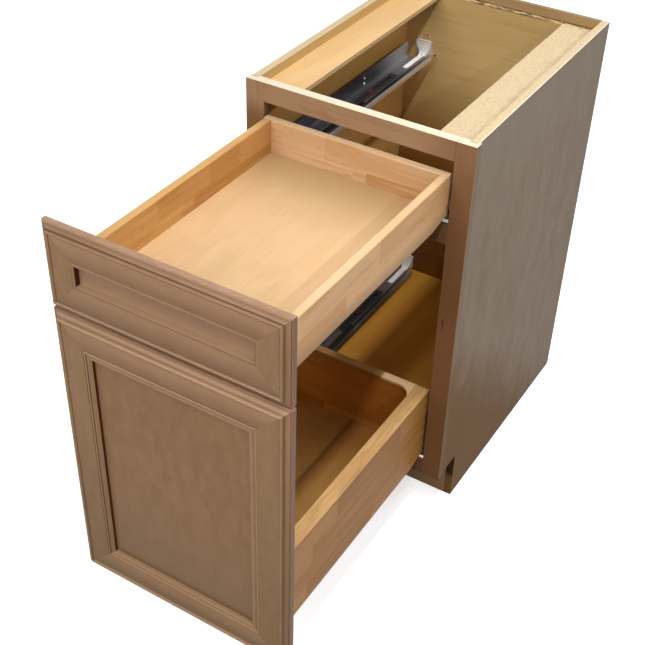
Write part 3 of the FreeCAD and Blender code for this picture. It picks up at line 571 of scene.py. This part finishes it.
def zinc_plate():
    """Zinc plating on the fixed rails: dull in front, brighter to the rear, with a painted highlight on
    the lip.
    """
    finish = sheet_steel("zinc_plated_sheet", "#5d5f64", "#7b7d82", 0.48)
    finish.shade("#cfd2d6", Y, 360, 540, 0.75)
    # The tabs at the front carry painted shade beside the boxes and are rubbed bright below them
    front = finish.add("ShaderNodeMath", (finish.place[Y], TAB_END_Y * MM), operation="LESS_THAN")
    finish.lay("#2b2725", front, 0.0, 1.0, 0.9)
    for node in ("drawer_box_front", "bin_box_front"):
        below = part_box(node)[0][Z] / MM - TAB_RUBBED_DROP
        finish.lay("#f4f2f0", finish.line(finish.place[Z], below, 6.5), 0.05, 0.4, 1.0, (front,))
    # A painted highlight along the lip, on the drawer's rails alone
    across = finish.add("ShaderNodeMath", (finish.place[X],), operation="ABSOLUTE")
    over = (finish.place[Z], BETWEEN_PAIRS_Z * MM)
    upper = finish.add("ShaderNodeMath", over, operation="GREATER_THAN")
    finish.lay("#f0f2f5", finish.line(across, LIP_X, 2.2), 0.1, 0.6, 1.0, (upper,))
    return finish.done()


def moulded(name, low, high, rough, top=None):
    """Injection-moulded plastic with a fine spark-eroded texture, drawn coarser than real to show."""
    finish = Finish(name, low, rough)
    speckle = finish.streaks(Z, 2.0, 2.0, 1.7)
    finish.lay(high, speckle, 0.2, 0.8)
    # Upward faces take a paler tone, a painted highlight
    if top:
        finish.lay(top, finish.facing(Z), 0.8, 0.97)
    return finish.done(speckle, 0.06)


def dress(node, material):
    """Gives a CAD piece its material."""
    cad_nodes[node].data.materials.clear()
    cad_nodes[node].data.materials.append(material)


def front_box(name):
    """Lowest and highest corner of a whole front, from its members."""
    members = [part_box(node) for node in cad_nodes if node.startswith(name)]
    low = Vector([min(box[0][axis] for box in members) for axis in (X, Y, Z)])
    high = Vector([max(box[1][axis] for box in members) for axis in (X, Y, Z)])
    return low, high


def drawer_wiping():
    """How the members of the drawer front were wiped and wore, with their painted shade, sheen and
    highlights.
    """
    rail_glaze = {COVE_END: 0.75, BEAD_END: 0.45}
    return {
        "top_rail": dict(
            glazed=rail_glaze,
            worn_and_highlit={BEAD_CREST: 0.6, DRAWER_FIELD_END: 0.4},
            painted_sheen={EDGE_BAND: (2.5, 0.6)},
            rubbing=0.45,
        ),
        "bottom_rail": dict(
            glazed=rail_glaze | {DRAWER_SILL: 0.3},
            worn_and_highlit={BEAD_CREST: 0.65},
            cove_glaze_and_shade=0.3,
            painted_sheen={DRAWER_PANEL_EDGE: (3.5, 0.3)},
            rubbing=0.45,
        ),
        "left_stile": dict(
            glazed={COVE_END: 0.3, BEAD_END: 0.55, DRAWER_FIELD_END: 0.3},
            worn_and_highlit={BEAD_CREST: 0.1},
            cove_glaze_and_shade=0.6,
            rubbing=0.05,
        ),
        "right_stile": dict(
            glazed={EDGE_BAND: 0.85, BEAD_END: 0.1, DRAWER_SILL: 0.6},
            worn_and_highlit={BEAD_CREST: 0.1},
            cove_glaze_and_shade=0.05,
        ),
    }


def door_wiping():
    """How the members of the bin box's door were wiped and wore, with their painted shade, sheen and
    highlights.
    """
    return {
        "top_rail": dict(
            glazed={COVE_END: 0.1, FIELD_EDGE: 0.3, DOOR_FIELD_LINE: 0.3, DOOR_BEAD_END: 0.2},
            worn_and_highlit={BEAD_CREST: 1.0, DOOR_BEAD_CREST: 0.9},
            painted_sheen={
                COVE_DEEPEST: (4.5, 0.6),
                BEAD_CREST: (4.5, 0.7),
                BEAD_END: (3.0, 0.6),
                DOOR_SILL: (3.0, 0.25),
            },
            rubbing=0.3,
        ),
        "bottom_rail": dict(
            glazed={COVE_END: 0.4, DOOR_BEAD_END: 0.1},
            worn_and_highlit={DOOR_BEAD_CREST: 0.2},
            cove_glaze_and_shade=0.3,
            painted_sheen={BEAD_END: (5.0, 0.5), DOOR_BEAD_END: (4.5, 0.5), DOOR_SILL: (6.0, 0.6)},
            rubbing=0.45,
        ),
        "left_stile": dict(
            glazed={
                COVE_END: 0.3,
                BEAD_END: 0.45,
                DOOR_FIELD_END: 0.2,
                DOOR_BEAD_END: 0.45,
                DOOR_SILL: 0.35,
            },
            worn_and_highlit={BEAD_CREST: 0.1, DOOR_BEAD_CREST: 0.3},
            cove_glaze_and_shade=0.6,
            rubbing=0.05,
        ),
        "right_stile": dict(
            glazed={EDGE_BAND: 0.7, DOOR_BEAD_END: 0.9},
            worn_and_highlit={BEAD_CREST: 0.15, DOOR_BEAD_CREST: 0.3},
            cove_glaze_and_shade=0.05,
            painted_sheen={DOOR_SILL: (4.0, 0.2)},
        ),
    }


def dress_fronts():
    """Each member gets its own finish: stain wiped along it, shade and highlights painted by how it
    faces.
    """
    stile_tones = ("#8f7153", "#9a7b5f", "#594230")
    member_tones = {
        # The top rails are a little paler than the rest, a painted highlight
        "top_rail": ("#977659", "#a18064", "#5d4436"),
        "bottom_rail": ("#907156", "#9a7a5e", "#5a4232"),
        "left_stile": stile_tones,
        "right_stile": stile_tones,
    }
    fronts = {
        "drawer_front": (drawer_wiping(), DRAWER_FIELD_END, DRAWER_PANEL_EDGE),
        "door": (door_wiping(), DOOR_FIELD_END, DOOR_PANEL_EDGE),
    }
    for name, (members, field_end, panel_edge) in fronts.items():
        box = front_box(name)
        field_shades = {"top_rail": (BEAD_END, field_end), "bottom_rail": (field_end, BEAD_END)}
        for member, wiping in members.items():
            node = name + "_" + member
            along = X if "rail" in member else Z
            edges = (box, panel_edge, field_shades.get(member))
            dress(node, stained_front(node + "_maple", along, member_tones[member], edges, **wiping))
    panels = {
        # The drawer's panel is paler low down, painted light below the shade of the rail above; the
        # door's is darker
        "drawer_front_panel": (X, ("#9b7a5f", "#a18268", "#c2a283")),
        "door_panel": (Z, ("#876646", "#957254", "#7c6143")),
    }
    for node, (along, tones) in panels.items():
        low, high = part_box(node)
        dress(node, stained_panel(node + "_maple", along, tones, low[Z], high[Z]))


def dress_carcass():
    """Finishes of the face frame, the sides and the plywood pieces of the carcass."""
    upright = stained_frame("frame_stile_maple", Z, "#81593f", 340)
    level = stained_frame("frame_rail_maple", X, "#2f190b", 720)
    for node in ("top_rail", "mid_rail", "bottom_rail"):
        dress(node, level)
    side = taupe_veneer()
    for hand in ("left", "right"):
        dress(hand + "_stile", upright)
        dress(hand + "_side_panel", side)
    plank, grain = clear_ply("left_cleat_ply", Y, ("#dcb37c", "#e6c18b", "#c2955c"))
    ply_edge(plank, Z, X)
    dress("left_top_plank", plank.done(grain, 0.1))
    dress("right_top_plank", rough_ply())
    dress("back_panel", back_ply())
    toe, grain = clear_ply("toe_board_ply", X, ("#9c7848", "#a7824f", "#6d5230"))
    dress("toe_kick_board", toe.done(grain, 0.05))
    floor, grain = clear_ply("carcass_floor_ply", Y, ("#b9822f", "#c28b38", "#925f1d"))
    # Painted light: the floor is paler towards the front
    floor.shade("#e3ad55", Y, 220, 40, 0.85)
    dress("cabinet_floor", floor.done(grain, 0.05))
    rail, grain = clear_ply("back_rail_ply", X, ("#a98b60", "#b0936a", "#8c7049"))
    upward = rail.add("ShaderNodeMath", (rail.facing(Z), 0.8), operation="GREATER_THAN")
    rail.lay("#866b46", upward, 0.0, 1.0, 0.7)
    # A dark line where the rail comes out above the back panel
    gap_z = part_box("back_panel")[1][Z]
    rail.lay("#2a1a0c", rail.line(rail.place[Z], gap_z / MM + 0.6, 1.2), 0.2, 0.9)
    rail_ply = rail.done(grain, 0.05)
    for node in ("top_back_rail", "bottom_back_rail"):
        dress(node, rail_ply)


def dress_boxes():
    """Finishes of both boxes and of the rim on the bin box. Each board has its own draw of blocks."""
    clear = ("#a8763c", "#c4965c", "#d6ad76", "#87592c")
    pale = ("#bb8b58", "#d3ac81", "#e1c19b", "#986c41")
    brown = ("#8b5e2c", "#a1743e", "#b48a55", "#6b4720")
    # The bin box's back takes deeper, redder tones: painted shade inside the bin
    deep_shade = ("#9f5f1e", "#bb742c", "#cb8a42", "#773f10")
    left_joints = ((0, -220.0, 0.35), (-1, -300.0, 0.5))
    back_joints = ((0, -54.5, 0.3), (-1, 31.5, 0.95))
    boards = {
        "drawer_box_left_side": dict(tones=clear, contrast=0.6, seed=0.0, joints=left_joints),
        "drawer_box_right_side": dict(tones=pale, contrast=0.5, seed=1.0),
        "drawer_box_front": dict(tones=clear, contrast=0.8, seed=0.5),
        "drawer_box_back": dict(tones=pale, contrast=0.3, seed=1.5, joints=back_joints),
        "bin_box_left_side": dict(tones=brown, contrast=0.45, seed=3.0),
        "bin_box_right_side": dict(tones=brown, contrast=0.6, seed=4.0),
        "bin_box_front": dict(tones=clear, contrast=0.8, seed=7.5),
        "bin_box_back": dict(tones=deep_shade, contrast=0.8, seed=8.5, ends="#8a683f"),
    }
    for node, recipe in boards.items():
        along = Y if "side" in node else X
        rows = DRAWER_ROWS if "drawer" in node else BIN_ROWS
        dress(node, rubberwood(node + "_rubberwood", along, rows, **recipe))
    bottoms = {
        "drawer_box_bottom": ("#d7b184", "#dfbb8f", "#a98a60"),
        "bin_box_bottom": ("#b58545", "#be8f4f", "#855520"),
    }
    for node, tones in bottoms.items():
        bottom, grain = clear_ply(node + "_ply", Y, tones, 0.32, 2.9, (60, 260))
        # Both bottoms carry painted shade towards the back
        bottom.shade(tones[2], Y, -250, -50, 0.8)
        dress(node, bottom.done(grain, 0.05))
    dress("bin_holder_rim", rim_strips())


def dress_slides():
    """Finishes of the slides: plated and blackened steel, and moulded parts in four colours."""
    zinc = zinc_plate()
    dark = sheet_steel("blackened_runner_steel", "#2f2f32", "#454549", 0.42).done()
    black = moulded("black_nylon", "#1d1d1f", "#2b2b2e", 0.45)
    orange = moulded("orange_acetal", "#54261a", "#663224", 0.4)
    white = moulded("white_acetal", "#cfcdca", "#dedcd9", 0.35, "#fbfbfb")
    grey = moulded("grey_acetal", "#5c5d5f", "#6e6f71", 0.45)
    for name in ("drawer", "bin"):
        for hand in ("left", "right"):
            dress(name + "_" + hand + "_fixed_rail", zinc)
            dress(name + "_" + hand + "_drawer_runner", dark)
            dress(name + "_" + hand + "_release_lever", grey)
        dress(name + "_middle_runners", dark)
        dress(name + "_soft_close_housings", black)
        dress(name + "_soft_close_catches", orange)
        dress(name + "_rear_brackets", white)
        dress(name + "_lock_clips", grey)


# Small pieces

def add_screw(work, place, outward):
    """One raised screw head with a cross recess, seated at a place and facing outward."""
    turn = Vector(outward).to_track_quat("Z", "Y").to_matrix().to_4x4()
    seat = Matrix.Translation(place) @ turn @ Matrix.Scale(SCREW_RADIUS * MM, 4)
    rings = []
    for radius, height in SCREW_RINGS:
        steps = [math.tau * side / SCREW_SIDES for side in range(SCREW_SIDES)]
        points = [Vector((radius * math.cos(step), radius * math.sin(step), height)) for step in steps]
        rings.append([work.verts.new(seat @ point) for point in points])
    for low, high in zip(rings, rings[1:]):
        for side in range(SCREW_SIDES):
            before = side - 1
            work.faces.new((low[before], low[side], high[side], high[before]))
    inner = Vector((RECESS_HALF, RECESS_HALF, 0))
    quarter = (inner, Vector((RECESS_HALF, RECESS_ARM, 0)), Vector((-RECESS_HALF, RECESS_ARM, 0)))
    quarter_turns = [Matrix.Rotation(math.pi / 2 * number, 4, "Z") for number in range(4)]
    outline = [quarter_turn @ corner for quarter_turn in quarter_turns for corner in quarter]
    crown = Vector((0, 0, SCREW_RINGS[-1][1]))
    floor = Vector((0, 0, RECESS_FLOOR))
    mouth = [work.verts.new(seat @ (corner + crown)) for corner in outline]
    foot = [work.verts.new(seat @ (corner * RECESS_TAPER + floor)) for corner in outline]
    edges = [work.edges.new((mouth[i - 1], mouth[i])) for i in range(len(mouth))]
    edges += [work.edges.get((rings[-1][i - 1], rings[-1][i])) for i in range(SCREW_SIDES)]
    bmesh.ops.triangle_fill(work, use_beauty=True, edges=edges)
    for i in range(len(mouth)):
        work.faces.new((mouth[i - 1], mouth[i], foot[i], foot[i - 1]))
    work.faces.new(foot)


def add_sliver(work, corners):
    """A thin raised sliver of wood: two corners of its foot, its tip and its crest, in millimetres."""
    left, right, tip, crest = [work.verts.new(Vector(corner) * MM) for corner in corners]
    for face in ((left, right, crest), (right, tip, crest), (tip, left, crest), (left, tip, right)):
        work.faces.new(face)


def add_splinters(work, hole, face_y):
    """Pale splinters round a hole where a screw tore out of the back panel, longer along the grain."""
    x, z = hole
    stretch, half_turn, crest_rise = 1.5, 0.18, 1.3
    chance = random.Random(round(z))
    for number in range(SPLINTERS):
        angle = math.tau * (number + chance.uniform(-0.3, 0.3)) / SPLINTERS
        near = chance.uniform(2.6, 3.6)
        far = chance.uniform(5.0, 9.5)
        points = (
            (near, angle - half_turn, 0.0),
            (near, angle + half_turn, 0.0),
            (far, angle, 0.0),
            (near, angle, crest_rise),
        )
        corners = []
        for radius, turn, rise in points:
            beside = stretch * radius * math.cos(turn)
            corners.append((x + beside, face_y - rise, z + radius * math.sin(turn)))
        add_sliver(work, corners)


def add_fibres(work, patch, face_y):
    """Loose upright fibres in a patch of torn veneer, each a thin raised sliver."""
    left, right, low, high = patch
    crest_rise = 1.2
    chance = random.Random(3)
    for _ in range(FIBRES):
        x = chance.uniform(left, right)
        z = chance.uniform(low, high)
        reach = chance.uniform(2.5, 5.0)
        lean = chance.uniform(-1.6, 1.6)
        half = chance.uniform(0.5, 0.9)
        corners = (
            (x - half, face_y, z - reach),
            (x + half, face_y, z - reach),
            (x + lean, face_y, z + reach),
            (x + lean / 2, face_y - crest_rise, z),
        )
        add_sliver(work, corners)


def add_torn_strip(work, ends, face_y, top):
    """A strip of veneer torn up along the top edge, ragged below and standing a little proud."""
    start, end = ends
    face_y += TEAR_ROOT - TEAR_THICKNESS
    chance = random.Random(round(start))
    spots = [start]
    while spots[-1] < end:
        spots.append(spots[-1] + chance.uniform(1.6, 4.2))
    upper = [work.verts.new(Vector((x, face_y, top)) * MM) for x in spots]
    depths = [top - chance.uniform(0.8, TEAR_DEPTH) for x in spots]
    lower = [work.verts.new(Vector((x, face_y, low)) * MM) for x, low in zip(spots, depths)]
    faces = []
    for i in range(1, len(spots)):
        faces.append(work.faces.new((upper[i - 1], upper[i], lower[i], lower[i - 1])))
    bmesh.ops.solidify(work, geom=faces, thickness=TEAR_THICKNESS * MM)


def add_piece(name, work, body, material):
    """Puts a finished mesh into the scene as a piece that moves with a body."""
    bmesh.ops.recalc_face_normals(work, faces=work.faces)
    mesh = bpy.data.meshes.new(name)
    work.to_mesh(mesh)
    work.free()
    mesh.materials.append(material)
    piece = bpy.data.objects.new(name, mesh)
    bpy.context.scene.collection.objects.link(piece)
    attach(piece, body)


def torn_wood():
    """Fresh broken wood: pale, with fibres along the grain."""
    finish = Finish("torn_veneer", "#c9ab7c", 0.8, gloss=0.1)
    fibres = finish.streaks(X, 1.0, 8, 3.7)
    finish.lay("#e3d0ab", fibres, 0.45, 0.7)
    return finish.done(fibres, 0.05)


def add_screws():
    """Screws of the rails, and those through the box fronts."""
    bright = sheet_steel("bright_zinc_screws", "#c3c6ca", "#dfe1e4", 0.3).done()
    work = bmesh.new()
    for name in ("drawer", "bin"):
        for hand, inward in (("left", 1), ("right", -1)):
            low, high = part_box(name + "_" + hand + "_fixed_rail")
            wall_x = low[X] if inward > 0 else high[X]
            face_x = wall_x + inward * FLANGE_THICKNESS * MM
            for rise in RAIL_SCREW_RISES:
                place = Vector((face_x, low[Y] + RAIL_SCREW_Y * MM, low[Z] + rise * MM))
                add_screw(work, place, (inward, 0, 0))
    add_piece("rail_screws", work, "cabinet", bright)
    for name, body in (("drawer", "top_drawer"), ("bin", "bin_pullout")):
        work = bmesh.new()
        low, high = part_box(name + "_box_front")
        for x in (-FRONT_SCREW_X * MM, FRONT_SCREW_X * MM):
            for share in FRONT_SCREW_SHARES:
                place = Vector((x, high[Y], low[Z] + share * (high[Z] - low[Z])))
                add_screw(work, place, (0, 1, 0))
        add_piece(name + "_front_screws", work, body, bright)


def tear_back_panel():
    """Torn screw holes, loose fibres and a torn top edge on the back panel."""
    low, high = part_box("back_panel")
    broken = torn_wood()
    work = bmesh.new()
    for hole in TORN_HOLES:
        add_splinters(work, hole, low[Y] / MM)
    add_fibres(work, TORN_PATCH, low[Y] / MM)
    add_piece("torn_screw_holes", work, "cabinet", broken)
    work = bmesh.new()
    for ends in TORN_STRIPS:
        add_torn_strip(work, ends, low[Y] / MM, high[Z] / MM)
    add_piece("torn_top_edge", work, "cabinet", broken)


def ease_edges():
    """A small round on the edges of every CAD piece, as sanding and bending leave."""
    sheet_words = ("runner", "catches", "housings", "brackets", "clips", "lever")
    for node, piece in cad_nodes.items():
        ease = BOARD_EASE
        if "fixed_rail" in node:
            ease = RAIL_EASE
        elif any(word in node for word in sheet_words):
            ease = SHEET_EASE
        weld = piece.modifiers.new("weld", "WELD")
        weld.merge_threshold = WELD_GAP * MM
        bevel = piece.modifiers.new("ease", "BEVEL")
        bevel.width = ease * MM
        bevel.segments = EASE_STEPS
        bevel.limit_method = "ANGLE"
        bevel.angle_limit = EASE_ANGLE
        bevel.harden_normals = True


# Stage

def place_camera():
    """The photograph's camera, for a square frame: looking down from the front right, slightly rolled.
    """
    back = Vector((
        math.sin(CAMERA_AZIMUTH) * math.cos(CAMERA_ELEVATION),
        -math.cos(CAMERA_AZIMUTH) * math.cos(CAMERA_ELEVATION),
        math.sin(CAMERA_ELEVATION),
    ))
    level = Vector((0, 0, 1)).cross(back).normalized()
    upright = back.cross(level)
    right = math.cos(CAMERA_ROLL) * level + math.sin(CAMERA_ROLL) * upright
    up = -math.sin(CAMERA_ROLL) * level + math.cos(CAMERA_ROLL) * upright
    data = bpy.data.cameras.new("camera")
    data.lens = CAMERA_LENS
    data.sensor_width = SENSOR_WIDTH
    camera = bpy.data.objects.new("camera", data)
    bpy.context.scene.collection.objects.link(camera)
    turn = Matrix((right, up, back)).transposed().to_4x4()
    camera.matrix_world = Matrix.Translation(CAMERA_PLACE) @ turn
    bpy.context.scene.camera = camera


def area_lamp(name, place, target, size, power):
    """A rectangular lamp that points at a target. Pointed down, its second size is along Y."""
    data = bpy.data.lights.new(name, "AREA")
    data.shape = "RECTANGLE"
    data.size, data.size_y = size
    data.energy = power
    lamp = bpy.data.objects.new(name, data)
    lamp.location = place
    lamp.rotation_euler = (Vector(target) - Vector(place)).to_track_quat("-Z", "Y").to_euler()
    bpy.context.scene.collection.objects.link(lamp)


def seen_ray(tree):
    """1 where the camera looks, straight, by a reflection or through glass, and 0 for bounced light."""
    ray = add(tree, "ShaderNodeLightPath")
    seen = ray.outputs["Is Camera Ray"]
    for name in ("Is Glossy Ray", "Is Transmission Ray"):
        seen = add(tree, "ShaderNodeMath", (seen, ray.outputs[name]), operation="MAXIMUM")
    return seen


def light_studio():
    """A ceiling brighter than the walls, two rows of lamps above to the right, and soft fills.

    The surround that the camera sees, straight or in a reflection, is pale and even.
    """
    world = bpy.data.worlds.new("studio")
    world.use_nodes = True
    tree = world.node_tree
    direction = add(tree, "ShaderNodeTexCoord").outputs["Generated"]
    height = add(tree, "ShaderNodeSeparateXYZ", (direction,)).outputs[Z]
    strength = add(tree, "ShaderNodeMapRange", (height, 0.0, 0.9, 0.04, 0.24))
    background = tree.nodes["Background"]
    background.inputs["Color"].default_value = srgb("#fffbf4")
    tree.links.new(strength.outputs[0], background.inputs["Strength"])
    surround = add(tree, "ShaderNodeBackground", (srgb("#ffffff"), 0.8))
    both = add(tree, "ShaderNodeMixShader", (seen_ray(tree), background, surround))
    tree.links.new(both.outputs[0], tree.nodes["World Output"].inputs["Surface"])
    bpy.context.scene.world = world
    for name, x, power in (("near_row", 0.71, 60), ("far_row", 2.28, 44)):
        place = (x, LAMP_ROW_Y, LAMP_ROW_HEIGHT)
        area_lamp(name, place, target=(x, LAMP_ROW_Y, 0), size=LAMP_ROW_SIZE, power=power)
    area_lamp("front_fill", (-0.5, -3.0, 2.2), target=(0, -0.5, 0.4), size=(1.4, 1.4), power=44)
    area_lamp("rear_fill", (-2.6, 1.7, 0.9), target=(0, 0.1, 0.45), size=(1.8, 1.8), power=40)


def lay_floor():
    """A plain pale floor, brightened for the camera alone so that it stays close to white."""
    finish = Finish("pale_floor", "#b8a283", 0.9, gloss=0.0)
    finish.shader.inputs["Base Color"].default_value = finish.colour
    seen = finish.add("ShaderNodeBsdfDiffuse", {"Color": srgb("#eef0f4")})
    glow = finish.add("ShaderNodeEmission", {"Color": srgb("#ffffff"), "Strength": 0.66})
    bright = finish.add("ShaderNodeAddShader", (seen, glow))
    both = finish.add("ShaderNodeMixShader", (seen_ray(finish.tree), finish.shader, bright))
    finish.tree.links.new(both.outputs[0], finish.tree.nodes["Material Output"].inputs["Surface"])
    mesh = bpy.data.meshes.new("floor")
    half = FLOOR_HALF
    corners = [(-half, -half, 0), (half, -half, 0), (half, half, 0), (-half, half, 0)]
    mesh.from_pydata(corners, [], [(0, 1, 2, 3)])
    mesh.materials.append(finish.material)
    floor = bpy.data.objects.new("floor", mesh)
    bpy.context.scene.collection.objects.link(floor)


dress_fronts()
dress_carcass()
dress_boxes()
dress_slides()
ease_edges()
add_screws()
tear_back_panel()
place_camera()
light_studio()
lay_floor()
bpy.context.scene.view_settings.view_transform = "Standard"
